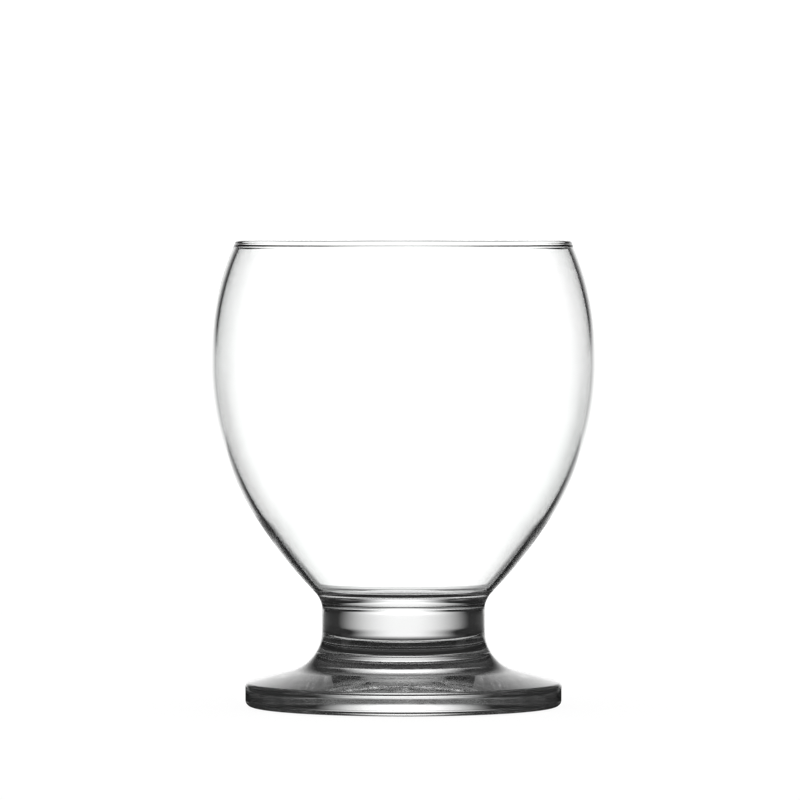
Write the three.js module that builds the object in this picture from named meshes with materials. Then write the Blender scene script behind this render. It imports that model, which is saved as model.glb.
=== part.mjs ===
// A clear footed beer glass: a round-bellied bowl, a short solid stem and a disc foot, welded together hot.
// Millimetres, +Z up. The origin is on the axis, in the plane that the glass stands on.
import * as THREE from "three";

// Driving dimensions of the outside, from the rim down
const HEIGHT = 116.2;
const BELLY_RADIUS = 48.3;
const BELLY_LEVEL = 85.7;
const UPPER_CURVE = 75; // radius of the wall's curve from the rim to the belly
const LOWER_CURVE = 70.8; // and below the belly
const LOWER_TURN = 32; // degrees that the wall turns in before it runs straighter
const CONE_CURVE = 120; // radius of that straighter stretch, down to the stem
const NECK_FILLET = 6.6;
const WAIST_RADIUS = 20.3;
const FLARE_TOP = 18.85; // level where the stem begins to open into the foot
const FLARE_FILLET = 10.4;
const FOOT_SLOPE = 15.2; // degrees that the foot's top face falls
const FOOT_RADIUS = 39.45;
const FOOT_TOP_ROUND = 1.25;
const FOOT_BOTTOM_ROUND = 1.55;

// Driving dimensions of the inside
const WALL = 1.5; // from the rim to the belly; it thickens further down
const INNER_LOWER_CURVE = 68.95;
const INNER_TURN = 35; // degrees that the inner wall turns in before it runs straighter
const INNER_CONE_CURVE = 162.5;
const FLOOR_LEVEL = 29.6; // in the middle of the bowl's floor, which is a shallow dome
const FLOOR_CURVE = 140;
const FLOOR_ROUND = 5.2;

// Where the pieces are welded: the lean of the outer surface from upright there, in degrees
const NECK_WELD_LEAN = 18;
const FLARE_WELD_LEAN = 30;

// Facets
const SIDES = 56;
const DEGREES_PER_STEP = 8;
const LEAST_STEPS = 3;

const { degToRad, radToDeg } = THREE.MathUtils;
const point = (radius, level) => new THREE.Vector2(radius, level);
const towards = (degrees) => point(Math.cos(degToRad(degrees)), Math.sin(degToRad(degrees)));
const directionTo = (from, to) => radToDeg(Math.atan2(to.y - from.y, to.x - from.x));
const onCircle = (circle, degrees) =>
  towards(degrees).multiplyScalar(circle.radius).add(circle.centre);

// A round stretch of a profile, from one angle to another.
function arc(circle, from, to) {
  const steps = Math.max(LEAST_STEPS, Math.round(Math.abs(to - from) / DEGREES_PER_STEP));
  return Array.from({ length: steps + 1 }, (_, i) =>
    onCircle(circle, from + ((to - from) * i) / steps),
  );
}

// The circle that runs on from another one at an angle without a kink, with a radius of its own.
function runningOn(circle, degrees, radius) {
  return { centre: towards(degrees).multiplyScalar(circle.radius - radius).add(circle.centre), radius };
}

// The point on the right that has these distances from two centres.
function meeting(first, firstReach, second, secondReach) {
  const across = second.clone().sub(first);
  const span = across.length();
  const share = (span ** 2 + firstReach ** 2 - secondReach ** 2) / (2 * span);
  const aside = Math.sqrt(firstReach ** 2 - share ** 2);
  const sideways = point(-across.y, across.x).multiplyScalar(aside / span);
  return across.multiplyScalar(share / span).add(first).add(sideways);
}

// Circles that the profile follows
const upperWall = {
  centre: point(BELLY_RADIUS - UPPER_CURVE, BELLY_LEVEL),
  radius: UPPER_CURVE,
};
const innerUpperWall = { centre: upperWall.centre, radius: UPPER_CURVE - WALL };
const lowerWall = {
  centre: point(BELLY_RADIUS - LOWER_CURVE, BELLY_LEVEL),
  radius: LOWER_CURVE,
};
const coneWall = runningOn(lowerWall, -LOWER_TURN, CONE_CURVE);
const innerLowerWall = {
  centre: point(BELLY_RADIUS - WALL - INNER_LOWER_CURVE, BELLY_LEVEL),
  radius: INNER_LOWER_CURVE,
};
const innerConeWall = runningOn(innerLowerWall, -INNER_TURN, INNER_CONE_CURVE);
const floor = { centre: point(0, FLOOR_LEVEL - FLOOR_CURVE), radius: FLOOR_CURVE };
const flare = { centre: point(WAIST_RADIUS + FLARE_FILLET, FLARE_TOP), radius: FLARE_FILLET };

// The rim is a half round, as thick as the wall that it closes.
const rimMiddle = UPPER_CURVE - WALL / 2;
const rimAngle = radToDeg(Math.asin((HEIGHT - WALL / 2 - BELLY_LEVEL) / rimMiddle));
const rim = {
  centre: towards(rimAngle).multiplyScalar(rimMiddle).add(upperWall.centre),
  radius: WALL / 2,
};

// The neck's fillet touches the cone from outside and runs into the upright waist.
const neckX = WAIST_RADIUS + NECK_FILLET;
const neckReach = CONE_CURVE + NECK_FILLET;
const neckAcross = neckX - coneWall.centre.x;
const neckDown = Math.sqrt(neckReach ** 2 - neckAcross ** 2);
const neck = { centre: point(neckX, coneWall.centre.y - neckDown), radius: NECK_FILLET };
const coneEnd = directionTo(coneWall.centre, neck.centre);

// The floor's round touches the inner wall and the domed floor.
const floorRound = {
  centre: meeting(
    innerConeWall.centre,
    INNER_CONE_CURVE - FLOOR_ROUND,
    floor.centre,
    FLOOR_CURVE + FLOOR_ROUND,
  ),
  radius: FLOOR_ROUND,
};
const innerConeEnd = directionTo(innerConeWall.centre, floorRound.centre);
const floorEdge = directionTo(floor.centre, floorRound.centre);

// The foot's top face falls from the flare to the round of its edge.
const slopeStart = onCircle(flare, 270 - FOOT_SLOPE);
const topRoundX = FOOT_RADIUS - FOOT_TOP_ROUND;
const slopeEndX = topRoundX + FOOT_TOP_ROUND * Math.sin(degToRad(FOOT_SLOPE));
const slopeEndLevel = slopeStart.y - (slopeEndX - slopeStart.x) * Math.tan(degToRad(FOOT_SLOPE));
const topRound = {
  centre: point(topRoundX, slopeEndLevel - FOOT_TOP_ROUND * Math.cos(degToRad(FOOT_SLOPE))),
  radius: FOOT_TOP_ROUND,
};
const bottomRound = {
  centre: point(FOOT_RADIUS - FOOT_BOTTOM_ROUND, FOOT_BOTTOM_ROUND),
  radius: FOOT_BOTTOM_ROUND,
};

const neckWeld = onCircle(neck, 180 - NECK_WELD_LEAN);
const flareWeld = onCircle(flare, 180 + FLARE_WELD_LEAN);
const onAxis = (level) => point(0, level);

function bowlProfile() {
  return [
    onAxis(neckWeld.y),
    ...arc(neck, 180 - NECK_WELD_LEAN, 180 + coneEnd),
    ...arc(coneWall, coneEnd, -LOWER_TURN),
    ...arc(lowerWall, -LOWER_TURN, 0),
    ...arc(upperWall, 0, rimAngle),
    ...arc(rim, rimAngle, rimAngle + 180),
    ...arc(innerUpperWall, rimAngle, 0),
    ...arc(innerLowerWall, 0, -INNER_TURN),
    ...arc(innerConeWall, -INNER_TURN, innerConeEnd),
    ...arc(floorRound, innerConeEnd, floorEdge - 180),
    ...arc(floor, floorEdge, 90),
  ];
}

function stemProfile() {
  return [
    onAxis(flareWeld.y),
    ...arc(flare, 180 + FLARE_WELD_LEAN, 180),
    ...arc(neck, 180, 180 - NECK_WELD_LEAN),
    onAxis(neckWeld.y),
  ];
}

function footProfile() {
  return [
    onAxis(0),
    ...arc(bottomRound, -90, 0),
    ...arc(topRound, 0, 90 - FOOT_SLOPE),
    ...arc(flare, 270 - FOOT_SLOPE, 180 + FLARE_WELD_LEAN),
    onAxis(flareWeld.y),
  ];
}

// One piece of the glass: its profile turned about the axis, with a material of its own.
function turnedPiece(name, profile) {
  const apart = (p, i) => i === 0 || p.distanceTo(profile[i - 1]) > 1e-4;
  const geometry = new THREE.LatheGeometry(profile.filter(apart), SIDES);
  geometry.rotateX(Math.PI / 2);
  const clearGlass = new THREE.MeshStandardMaterial({
    color: 0xf3f7f6,
    roughness: 0.03,
    metalness: 0,
    transparent: true,
    opacity: 0.35,
  });
  const mesh = new THREE.Mesh(geometry, clearGlass);
  mesh.name = name;
  return mesh;
}

const glass = new THREE.Group();
glass.add(
  turnedPiece("bowl", bowlProfile()),
  turnedPiece("stem", stemProfile()),
  turnedPiece("foot", footProfile()),
);

export default glass;
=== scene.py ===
"""A clear footed beer glass on a white studio table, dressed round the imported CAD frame. Metres, +Z up."""

import math

import bmesh
import bpy
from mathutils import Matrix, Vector


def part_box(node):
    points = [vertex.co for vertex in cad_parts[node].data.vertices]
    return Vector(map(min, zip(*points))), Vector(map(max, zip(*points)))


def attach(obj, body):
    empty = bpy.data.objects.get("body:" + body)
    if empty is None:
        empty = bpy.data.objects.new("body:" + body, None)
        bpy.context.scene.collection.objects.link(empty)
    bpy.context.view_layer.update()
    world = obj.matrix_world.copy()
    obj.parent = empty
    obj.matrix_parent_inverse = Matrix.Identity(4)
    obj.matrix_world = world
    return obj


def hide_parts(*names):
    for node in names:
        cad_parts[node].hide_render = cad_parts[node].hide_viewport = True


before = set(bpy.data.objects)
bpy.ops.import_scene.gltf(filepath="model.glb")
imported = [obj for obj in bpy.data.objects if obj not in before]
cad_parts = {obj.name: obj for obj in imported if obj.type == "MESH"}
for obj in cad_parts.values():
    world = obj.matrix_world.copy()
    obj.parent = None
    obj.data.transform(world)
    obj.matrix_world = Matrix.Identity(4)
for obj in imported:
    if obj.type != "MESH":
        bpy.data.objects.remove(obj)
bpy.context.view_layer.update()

# Overall sizes, from the frame
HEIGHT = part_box("bowl")[1].z
BELLY_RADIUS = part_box("bowl")[1].x
FOOT_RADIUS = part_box("foot")[1].x
NECK_WELD_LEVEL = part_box("stem")[1].z
FLARE_WELD_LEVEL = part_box("stem")[0].z

# Driving dimensions of the outside, as in the CAD, from the rim down
BELLY_LEVEL = 0.0857
UPPER_CURVE = 0.075
LOWER_CURVE = 0.0708
LOWER_TURN = 32  # degrees that the wall turns in before it runs straighter
CONE_CURVE = 0.120
NECK_FILLET = 0.0066
WAIST_RADIUS = 0.0203
FLARE_TOP = 0.01885
FLARE_FILLET = 0.0104
FOOT_SLOPE = 15.2  # degrees that the foot's top face falls
FOOT_TOP_ROUND = 0.00125
FOOT_BOTTOM_ROUND = 0.00155

# Driving dimensions of the inside
WALL = 0.0015
RIM_BEAD = 0.0008  # radius of the bead that fire-polishing leaves on the rim
INNER_LOWER_CURVE = 0.06895
INNER_TURN = 35
INNER_CONE_CURVE = 0.1625
FLOOR_LEVEL = 0.0296
FLOOR_CURVE = 0.14
FLOOR_ROUND = 0.0052

# Fineness of the turned surfaces
SIDES = 192
STEP_LENGTH = 0.0009
LEAST_STEPS = 18
TOUCHING = 1e-7  # points of a profile that are nearer than this are one

# The camera stands level with the rim, far off, and looks slightly down on the glass.
CAMERA_DISTANCE = 1.70
CAMERA_HEIGHT = 0.117
AIM_HEIGHT = 0.0764
AIM_ASIDE = -0.00086
PICTURE_WIDTH = 0.19957  # metres across the picture at the glass's axis
SENSOR_WIDTH = 36

# Glass
GLASS_IOR = 1.5
MOST_BOUNCES, MOST_MIRRORINGS = 32, 16  # of light in the glass
THROUGH_BOWL = 1.5  # what the backdrop needs there to look as white as beside the glass
THROUGH_FULL, THROUGH_DARK = 10, 28  # degrees off the level, where such a view is bent up to the dark room
TINT = (0.985, 0.995, 0.99)  # where the glass is least clear
TINT_CLOUDS = (25, 25, 25)  # waves of a noise in a metre along each axis, here and below
NOISE_RANGE = (0.35, 0.65)  # where most of a noise's values lie
BLOWN_POLISH = (0, 0.003)  # least and most roughness of the bowl, which no tool has touched
TOOLED_POLISH = (0.03, 0.06)  # and of the stem and foot
HANDLING = (300, 300, 300)
BLOWN_WAVES, BLOWN_HEIGHT = (45, 45, 18), 0.00002  # height in metres
DRAWN_CORDS, DRAWN_HEIGHT = (350, 350, 12), 0.000004
PRESSED_WAVES, PRESSED_HEIGHT = (70, 70, 70), 0.00001
RIPPLE_LENGTH = 0.0045  # between the rings that the press leaves on the foot
RIPPLE_SHARE = 0.25
SCUFFED = (0.03, 0.1)
SCUFFS = (900, 500, 500)
SCUFF_LEVEL = 0.0004  # the underside is scuffed up to here

# The studio, as the glass shows it: a bright backdrop behind, narrow ones round about, dim between
BACK_FULL = 3  # degrees off the backdrop's middle
BACK_DARK_LOW, BACK_DARK_HIGH = 43, 26  # the same, below and above the level
BACK_LOW, BACK_HIGH = -1, 3  # degrees above the level, where one becomes the other
BACK_TOP_FULL, BACK_TOP_DARK = 14, 40
BACK_STRENGTH = 1.3
SIDE_TURN = 90  # degrees from one narrow backdrop to the next
SIDE_FULL, SIDE_DARK = 5, 12  # degrees off the middle of one
SIDE_STRENGTH = 0.35
WINDOW_TURN = 45  # degrees from one bright window to the next, for views straight through the stem and foot
WINDOWS_START, WINDOWS_FULL = 64, 76  # degrees off the backdrop's middle
WINDOW_FULL, WINDOW_DARK = 8, 20  # degrees off a window's middle
WINDOW_STRENGTH = 0.95
TOP_START, TOP_FULL = 15, 60  # degrees above the level, where the light overhead begins
TOP_STRENGTH = 0.3
ROOM_STRENGTH = 0.015

# The table, as the glass shows it, is painted with light and shade: a painted pool of light towards the
# backdrop, a painted shadow near and beneath the glass, faint painted light to the sides
TABLE_RADIUS = 0.45
TABLE_DROP = 0.0002  # keeps the table clear of the face that the foot stands on
TABLE_WHITE = 1.03  # for the camera, so that only the shadow is less than white
TABLE_SHADOW_SHARE = 0.1
# the level of the painted shade beneath the foot, for a view through the glass
TABLE_PAINTED_SHADE_UNDER_FOOT = 0.8
TABLE_CLEAR_START, TABLE_CLEAR_FULL = 27, 37  # degrees off the middle, where the bowl shows it white
TABLE_CLEAR_NEAR, TABLE_CLEAR_FAR = 0.16, 0.25  # where it does so all round, beyond the rim's lines
# where the painted pool of light towards the backdrop begins and where it is full; the painted shadow beneath
# the foot ends at its start
TABLE_PAINTED_LIGHT_START, TABLE_PAINTED_LIGHT_FULL = 0.045, 0.125
TABLE_NEAR, TABLE_FAR = 0.15, 0.35  # where the painted light is as narrow, and where it is wide
# the level of the painted shadow near the glass
TABLE_PAINTED_SHADOW_STRENGTH = 0.015
# where the painted shadow near the glass gives way to faint painted light to the sides, and that light's
# angles and levels
TABLE_SIDE_START, TABLE_SIDE_FULL = 0.07, 0.14
TABLE_SIDE_FROM, TABLE_SIDE_TO = 45, 75  # degrees off the backdrop's middle
TABLE_SIDE_LOW, TABLE_SIDE_HIGH = 0.02, 0.12


def towards(degrees):
    """A step of one metre in a profile's plane, at an angle above the level."""
    return Vector((math.cos(math.radians(degrees)), math.sin(math.radians(degrees))))


class Circle:
    """A circle that a profile follows. Its angles are degrees above the level."""

    def __init__(self, centre, radius):
        self.centre = Vector(centre)
        self.radius = radius

    def at(self, degrees):
        return self.centre + towards(degrees) * self.radius

    def arc(self, start, end):
        """Points from one angle to another."""
        length = math.radians(abs(end - start)) * self.radius
        steps = max(LEAST_STEPS, math.ceil(length / STEP_LENGTH))
        return [self.at(start + (end - start) * i / steps) for i in range(steps + 1)]

    def running_on(self, degrees, radius):
        """The circle that runs on from this one at an angle without a kink, with a radius of its own."""
        return Circle(self.centre + towards(degrees) * (self.radius - radius), radius)

    def angle_at_level(self, level):
        """The angle at which the circle's right side has this level."""
        return math.degrees(math.asin((level - self.centre.y) / self.radius))

    def angle_to(self, other):
        """The angle at which another circle's centre lies."""
        across = other.centre - self.centre
        return math.degrees(math.atan2(across.y, across.x))


def meeting(first, first_reach, second, second_reach):
    """The point on the right that has these distances from two centres."""
    across = second - first
    span = across.length
    share = (span ** 2 + first_reach ** 2 - second_reach ** 2) / (2 * span)
    aside = math.sqrt(first_reach ** 2 - share ** 2)
    return first + across * (share / span) + Vector((-across.y, across.x)) * (aside / span)


upper_wall = Circle((BELLY_RADIUS - UPPER_CURVE, BELLY_LEVEL), UPPER_CURVE)
inner_upper_wall = Circle(upper_wall.centre, UPPER_CURVE - WALL)
lower_wall = Circle((BELLY_RADIUS - LOWER_CURVE, BELLY_LEVEL), LOWER_CURVE)
cone_wall = lower_wall.running_on(-LOWER_TURN, CONE_CURVE)
inner_lower_wall = Circle((BELLY_RADIUS - WALL - INNER_LOWER_CURVE, BELLY_LEVEL), INNER_LOWER_CURVE)
inner_cone_wall = inner_lower_wall.running_on(-INNER_TURN, INNER_CONE_CURVE)
floor = Circle((0, FLOOR_LEVEL - FLOOR_CURVE), FLOOR_CURVE)
flare = Circle((WAIST_RADIUS + FLARE_FILLET, FLARE_TOP), FLARE_FILLET)

# The rim is a round bead, slightly thicker than the wall that it closes.
rim_middle = Circle(upper_wall.centre, UPPER_CURVE - WALL / 2)
rim_angle = rim_middle.angle_at_level(HEIGHT - RIM_BEAD)
rim = Circle(rim_middle.at(rim_angle), RIM_BEAD)
rim_overhang = math.degrees(math.acos(WALL / 2 / RIM_BEAD))
wall_end = rim_angle - math.degrees(RIM_BEAD * math.sin(math.radians(rim_overhang)) / UPPER_CURVE)

# The neck's fillet touches the cone from outside and runs into the upright waist.
neck_across = WAIST_RADIUS + NECK_FILLET - cone_wall.centre.x
neck_down = math.sqrt((CONE_CURVE + NECK_FILLET) ** 2 - neck_across ** 2)
neck = Circle(cone_wall.centre + Vector((neck_across, -neck_down)), NECK_FILLET)
cone_end = cone_wall.angle_to(neck)

# The floor's round touches the inner wall and the domed floor.
inner_reach = INNER_CONE_CURVE - FLOOR_ROUND
floor_reach = FLOOR_CURVE + FLOOR_ROUND
floor_round = Circle(meeting(inner_cone_wall.centre, inner_reach, floor.centre, floor_reach), FLOOR_ROUND)
inner_cone_end = inner_cone_wall.angle_to(floor_round)
floor_edge = floor.angle_to(floor_round)

# The foot's top face falls from the flare to the round of its edge.
slope_start = flare.at(270 - FOOT_SLOPE)
top_round_x = FOOT_RADIUS - FOOT_TOP_ROUND
slope_end_x = top_round_x + FOOT_TOP_ROUND * math.sin(math.radians(FOOT_SLOPE))
slope_end_level = slope_start.y - (slope_end_x - slope_start.x) * math.tan(math.radians(FOOT_SLOPE))
top_round_level = slope_end_level - FOOT_TOP_ROUND * math.cos(math.radians(FOOT_SLOPE))
top_round = Circle((top_round_x, top_round_level), FOOT_TOP_ROUND)
bottom_round = Circle((FOOT_RADIUS - FOOT_BOTTOM_ROUND, FOOT_BOTTOM_ROUND), FOOT_BOTTOM_ROUND)

# The welds' places on the fillets
neck_weld_angle = 180 - neck.angle_at_level(NECK_WELD_LEVEL)
flare_weld_angle = 180 - flare.angle_at_level(FLARE_WELD_LEVEL)


def bowl_profile():
    return [
        *neck.arc(neck_weld_angle, 180 + cone_end),
        *cone_wall.arc(cone_end, -LOWER_TURN),
        *lower_wall.arc(-LOWER_TURN, 0),
        *upper_wall.arc(0, wall_end),
        *rim.arc(rim_angle - rim_overhang, rim_angle + 180 + rim_overhang),
        *inner_upper_wall.arc(wall_end, 0),
        *inner_lower_wall.arc(0, -INNER_TURN),
        *inner_cone_wall.arc(-INNER_TURN, inner_cone_end),
        *floor_round.arc(inner_cone_end, floor_edge - 180),
        *floor.arc(floor_edge, 90),
    ]


def stem_profile():
    return [*flare.arc(flare_weld_angle, 180), *neck.arc(180, neck_weld_angle)]


def foot_profile():
    return [
        Vector((0, 0)),
        *bottom_round.arc(-90, 0),
        *top_round.arc(0, 90 - FOOT_SLOPE),
        *flare.arc(270 - FOOT_SLOPE, flare_weld_angle),
    ]


def corners_round(mesh, point):
    """One turn of a profile's point about the axis, or one corner where it lies on the axis."""
    if point.x < TOUCHING:
        return [mesh.verts.new((0, 0, point.y))]
    turns = [math.tau * i / SIDES for i in range(SIDES)]
    return [mesh.verts.new((point.x * math.cos(t), point.x * math.sin(t), point.y)) for t in turns]


def turned_piece(name, profile, glass, weld):
    """A closed turned mesh. An end of the profile that is off the axis is closed by a flat weld face."""
    mesh = bmesh.new()
    rings = []
    for point in profile:
        if rings and (point - last).length < TOUCHING:
            continue
        last = point
        rings.append(corners_round(mesh, point))
    for low, high in zip(rings, rings[1:]):
        for i in range(SIDES):
            after = i + 1
            corners = [low[i % len(low)], low[after % len(low)], high[after % len(high)], high[i % len(high)]]
            mesh.faces.new(dict.fromkeys(corners)).smooth = True
    for ring in (rings[0][::-1], rings[-1]):
        if len(ring) > 1:
            mesh.faces.new(ring).material_index = 1
    data = bpy.data.meshes.new(name)
    mesh.to_mesh(data)
    mesh.free()
    data.materials.append(glass)
    data.materials.append(weld)
    piece = bpy.data.objects.new(name, data)
    bpy.context.scene.collection.objects.link(piece)
    return piece


class Nodes:
    """A node tree that is being wired up."""

    def __init__(self, owner):
        owner.use_nodes = True
        self.tree = owner.node_tree
        self.tree.nodes.clear()

    def add(self, kind, **inputs):
        """A new node. Each input is a plain value or the socket of another node."""
        node = self.tree.nodes.new("ShaderNode" + kind)
        for name, value in inputs.items():
            self.feed(node.inputs[name.replace("_", " ")], value)
        return node

    def feed(self, socket, value):
        if isinstance(value, bpy.types.NodeSocket):
            self.tree.links.new(value, socket)
        else:
            socket.default_value = value

    def math(self, operation, *values):
        node = self.tree.nodes.new("ShaderNodeMath")
        node.operation = operation
        for socket, value in zip(node.inputs, values):
            self.feed(socket, value)
        return node.outputs[0]

    def ramp(self, value, start, end, low, high):
        """A smooth change from low to high while the value goes from start to end."""
        node = self.add("MapRange", Value=value)
        node.interpolation_type = "SMOOTHSTEP"
        for name, number in zip(("From Min", "From Max", "To Min", "To Max"), (start, end, low, high)):
            self.feed(node.inputs[name], number)
        return node.outputs[0]

    def noise(self, waves):
        """Noise from 0 to 1, with so many waves in a metre along each axis of the object."""
        scaled = self.tree.nodes.new("ShaderNodeVectorMath")
        scaled.operation = "MULTIPLY"
        self.feed(scaled.inputs[0], self.add("TexCoord").outputs["Object"])
        self.feed(scaled.inputs[1], waves)
        return self.add("TexNoise", Vector=scaled.outputs[0], Scale=1).outputs[0]

    def turn(self, angle, start, end, low, high):
        """The same for an angle, with its start and end in degrees."""
        return self.ramp(angle, math.radians(start), math.radians(end), low, high)


def sight(nodes):
    """How a ray came: straight from the camera, from a dull surface, through glass without being mirrored
    in it, and so through the bowl, which is so smooth that a ray which leaves it is a singular one."""
    path = nodes.add("LightPath").outputs
    unmirrored = nodes.math("LESS_THAN", path["Glossy Depth"], 0.5)
    through = nodes.math("MULTIPLY", path["Is Transmission Ray"], unmirrored)
    through_bowl = nodes.math("MULTIPLY", through, path["Is Singular Ray"])
    return path["Is Camera Ray"], path["Is Diffuse Ray"], through, through_bowl


def angle_off_backdrop(nodes, x, y):
    return nodes.math("ABSOLUTE", nodes.math("ARCTAN2", x, y))


def windows(nodes, off_back):
    """How bright the sides and the front are for a ray that went straight through the stem or foot."""
    off_window = nodes.math("PINGPONG", off_back, math.radians(WINDOW_TURN / 2))
    window = nodes.turn(off_window, WINDOW_FULL, WINDOW_DARK, WINDOW_STRENGTH, 0)
    return nodes.math("MULTIPLY", window, nodes.turn(off_back, WINDOWS_START, WINDOWS_FULL, 0, 1))


def distance(nodes, place):
    """How far a place is from the glass's axis."""
    x, y = place["X"], place["Y"]
    return nodes.math("SQRT", nodes.math("ADD", nodes.math("MULTIPLY", x, x), nodes.math("MULTIPLY", y, y)))


def studio_room(nodes, rise, off_back):
    """How bright the glass shows the studio."""
    dark = nodes.turn(rise, BACK_LOW, BACK_HIGH, math.radians(BACK_DARK_LOW), math.radians(BACK_DARK_HIGH))
    back = nodes.ramp(off_back, math.radians(BACK_FULL), dark, BACK_STRENGTH, 0)
    off_side = nodes.math("PINGPONG", off_back, math.radians(SIDE_TURN / 2))
    side = nodes.turn(off_side, SIDE_FULL, SIDE_DARK, SIDE_STRENGTH, 0)
    height = nodes.turn(rise, BACK_TOP_FULL, BACK_TOP_DARK, 1, 0)
    backdrops = nodes.math("MULTIPLY", nodes.math("MAXIMUM", back, side), height)
    overhead = nodes.turn(rise, TOP_START, TOP_FULL, ROOM_STRENGTH, TOP_STRENGTH)
    return nodes.math("MAXIMUM", backdrops, overhead)


def studio_world():
    """White for the camera; for the glass, a bright backdrop behind and narrow ones to the sides."""
    world = bpy.data.worlds.new("studio")
    bpy.context.scene.world = world
    nodes = Nodes(world)
    direction = nodes.add("SeparateXYZ", Vector=nodes.add("TexCoord").outputs["Generated"])
    off_back = angle_off_backdrop(nodes, direction.outputs["X"], direction.outputs["Y"])
    rise = nodes.math("ARCSINE", direction.outputs["Z"])
    room = studio_room(nodes, rise, off_back)
    camera, diffuse, through, through_bowl = sight(nodes)
    plain = nodes.math("MAXIMUM", camera, diffuse)
    clear = nodes.turn(rise, THROUGH_FULL, THROUGH_DARK, 1, 0)
    whole = nodes.math("MULTIPLY", through_bowl, THROUGH_BOWL)
    window = nodes.math("MULTIPLY", through, windows(nodes, off_back))
    beyond = nodes.math("MULTIPLY", clear, nodes.math("MAXIMUM", whole, window))
    seen = nodes.math("MAXIMUM", plain, beyond)
    light = nodes.add("Background", Color=(1, 1, 1, 1), Strength=nodes.math("MAXIMUM", room, seen))
    nodes.add("OutputWorld", Surface=light.outputs[0])


def table_painted_light_and_shade(nodes, away, off_back):
    """Painted light and painted shade on the table, as the glass shows it: a painted pool of light towards
    the backdrop, a painted shadow near the glass and faint painted light to the sides.
    """
    dark = nodes.ramp(away, TABLE_NEAR, TABLE_FAR, math.radians(BACK_DARK_HIGH), math.radians(BACK_DARK_LOW))
    back = nodes.ramp(off_back, math.radians(BACK_FULL), dark, 1, 0)
    # painted pool of light towards the backdrop, with a painted shadow near the glass
    painted_light = nodes.math("MULTIPLY", back, nodes.ramp(away, TABLE_PAINTED_LIGHT_START, TABLE_PAINTED_LIGHT_FULL, 0, 1))
    side = nodes.turn(off_back, TABLE_SIDE_FROM, TABLE_SIDE_TO, TABLE_SIDE_LOW, TABLE_SIDE_HIGH)
    # painted shadow near the glass, and faint painted light to the sides
    painted_shadow_and_side_light = nodes.ramp(away, TABLE_SIDE_START, TABLE_SIDE_FULL, TABLE_PAINTED_SHADOW_STRENGTH, side)
    return nodes.math("MAXIMUM", painted_light, painted_shadow_and_side_light)


def table_material():
    """White for the camera, with a faint shadow; for the glass, a glow with painted light towards the
    backdrop and in the windows' sectors, and painted shade near and beneath the glass.
    """
    material = bpy.data.materials.new("white_table_painted_light_and_shade")
    nodes = Nodes(material)
    place = nodes.add("SeparateXYZ", Vector=nodes.add("TexCoord").outputs["Object"]).outputs
    away = distance(nodes, place)
    off_back = angle_off_backdrop(nodes, place["X"], place["Y"])
    # painted light and painted shade on the table
    room = table_painted_light_and_shade(nodes, away, off_back)
    camera, _, through, through_bowl = sight(nodes)
    white = nodes.math("MULTIPLY", camera, TABLE_WHITE)
    # painted shadow beneath the foot: no white or window light there
    past_painted_shadow = nodes.ramp(away, FOOT_RADIUS, TABLE_PAINTED_LIGHT_START, 0, 1)
    aside = nodes.turn(off_back, TABLE_CLEAR_START, TABLE_CLEAR_FULL, 0, THROUGH_BOWL)
    far = nodes.ramp(away, TABLE_CLEAR_NEAR, TABLE_CLEAR_FAR, 0, THROUGH_BOWL)
    whole = nodes.math("MULTIPLY", through_bowl, nodes.math("MAXIMUM", aside, far))
    # painted light in the windows' sectors on the table, for a view through the stem or foot
    window = nodes.math("MULTIPLY", through, windows(nodes, off_back))
    beyond = nodes.math("MULTIPLY", past_painted_shadow, nodes.math("MAXIMUM", whole, window))
    # a light grey painted shade beneath the foot, for a view through the glass
    painted_shade_beneath_foot = nodes.math("MULTIPLY", through, nodes.ramp(past_painted_shadow, 0, 1, TABLE_PAINTED_SHADE_UNDER_FOOT, 0))
    seen = nodes.math("MAXIMUM", white, nodes.math("MAXIMUM", painted_shade_beneath_foot, beyond))
    # the glow carries the painted light and painted shade; for the camera it is even white
    glow = nodes.add("Emission", Color=(1, 1, 1, 1), Strength=nodes.math("MAXIMUM", room, seen))
    top = nodes.add("BsdfDiffuse", Color=(1, 1, 1, 1))
    share = nodes.math("MULTIPLY", camera, TABLE_SHADOW_SHARE)
    mixed = nodes.add("MixShader", Fac=share)
    nodes.feed(mixed.inputs[1], glow.outputs[0])
    nodes.feed(mixed.inputs[2], top.outputs[0])
    nodes.add("OutputMaterial", Surface=mixed.outputs[0])
    return material


def table():
    mesh = bmesh.new()
    bmesh.ops.create_circle(mesh, cap_ends=True, segments=SIDES, radius=TABLE_RADIUS)
    data = bpy.data.meshes.new("table")
    mesh.to_mesh(data)
    mesh.free()
    data.materials.append(table_material())
    top = bpy.data.objects.new("table", data)
    top.location.z = -TABLE_DROP
    bpy.context.scene.collection.objects.link(top)


def polish(nodes, least, most):
    """The roughness of a fire-polished surface that has been handled and washed."""
    return nodes.ramp(nodes.noise(HANDLING), *NOISE_RANGE, least, most)


def clear_glass(nodes, roughness, surface, depth):
    """Glass with a faint tint in clouds. The surface, from 0 to 1, rises by so many metres."""
    clouds = nodes.noise(TINT_CLOUDS)
    tint = nodes.add("CombineColor")
    for socket, least in zip(tint.inputs, TINT):
        nodes.feed(socket, nodes.ramp(clouds, *NOISE_RANGE, least, 1))
    bump = nodes.add("Bump", Height=surface, Strength=1, Distance=depth)
    glass = nodes.add(
        "BsdfPrincipled",
        Base_Color=tint.outputs[0],
        Roughness=roughness,
        Normal=bump.outputs[0],
        IOR=GLASS_IOR,
        Transmission_Weight=1,
    )
    nodes.add("OutputMaterial", Surface=glass.outputs[0])


def bowl_glass(nodes):
    """Blown glass has long, very shallow waves that run down the wall."""
    clear_glass(nodes, polish(nodes, *BLOWN_POLISH), nodes.noise(BLOWN_WAVES), BLOWN_HEIGHT)


def stem_glass(nodes):
    """Drawn glass has fine upright cords."""
    clear_glass(nodes, polish(nodes, *TOOLED_POLISH), nodes.noise(DRAWN_CORDS), DRAWN_HEIGHT)


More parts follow.
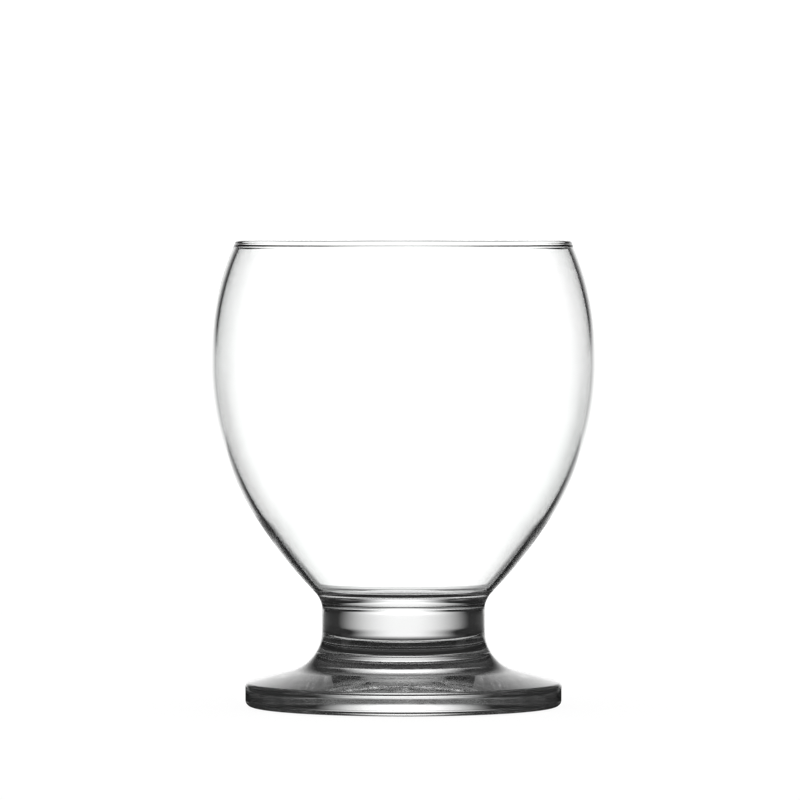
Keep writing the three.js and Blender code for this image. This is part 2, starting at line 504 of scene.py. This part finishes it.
def foot_glass(nodes):
    """Pressed glass has shallow waves and rings, and the face that it stands on is scuffed."""
    place = nodes.add("SeparateXYZ", Vector=nodes.add("TexCoord").outputs["Object"]).outputs
    rings = nodes.math("SINE", nodes.math("MULTIPLY", distance(nodes, place), math.tau / RIPPLE_LENGTH))
    surface = nodes.math("ADD", nodes.noise(PRESSED_WAVES), nodes.math("MULTIPLY", rings, RIPPLE_SHARE))
    scuffs = nodes.ramp(nodes.noise(SCUFFS), *NOISE_RANGE, *SCUFFED)
    roughness = nodes.ramp(place["Z"], 0, SCUFF_LEVEL, scuffs, polish(nodes, *TOOLED_POLISH))
    clear_glass(nodes, roughness, surface, PRESSED_HEIGHT)


def weld_material():
    """Nothing shows where two pieces are fused, so their faces there are fully clear."""
    material = bpy.data.materials.new("fused_weld")
    nodes = Nodes(material)
    clear = nodes.add("BsdfTransparent", Color=(1, 1, 1, 1))
    nodes.add("OutputMaterial", Surface=clear.outputs[0])
    return material


def camera():
    data = bpy.data.cameras.new("camera")
    eye = bpy.data.objects.new("camera", data)
    bpy.context.scene.collection.objects.link(eye)
    eye.location = (AIM_ASIDE, -CAMERA_DISTANCE, CAMERA_HEIGHT)
    line = Vector((AIM_ASIDE, 0, AIM_HEIGHT)) - eye.location
    eye.rotation_euler = line.to_track_quat("-Z", "Y").to_euler()
    data.sensor_width = SENSOR_WIDTH
    data.lens = SENSOR_WIDTH * line.length / PICTURE_WIDTH
    bpy.context.scene.camera = eye


def glass_pieces():
    weld = weld_material()
    pieces = {
        "bowl": (bowl_profile(), bowl_glass),
        "stem": (stem_profile(), stem_glass),
        "foot": (foot_profile(), foot_glass),
    }
    for node, (profile, wire) in pieces.items():
        slot = node + "_glass"
        glass = bpy.data.materials.new(slot)
        wire(Nodes(glass))
        piece = turned_piece("clear_" + node, profile, glass, weld)
        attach(piece, "root")
        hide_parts(node)


def light_paths():
    """Light passes many surfaces in thick glass before it leaves."""
    cycles = bpy.context.scene.cycles
    cycles.max_bounces = MOST_BOUNCES
    cycles.transmission_bounces = MOST_BOUNCES
    cycles.glossy_bounces = MOST_MIRRORINGS
    cycles.transparent_max_bounces = MOST_BOUNCES


bpy.context.scene.view_settings.view_transform = "Standard"
light_paths()
camera()
studio_world()
table()
glass_pieces()
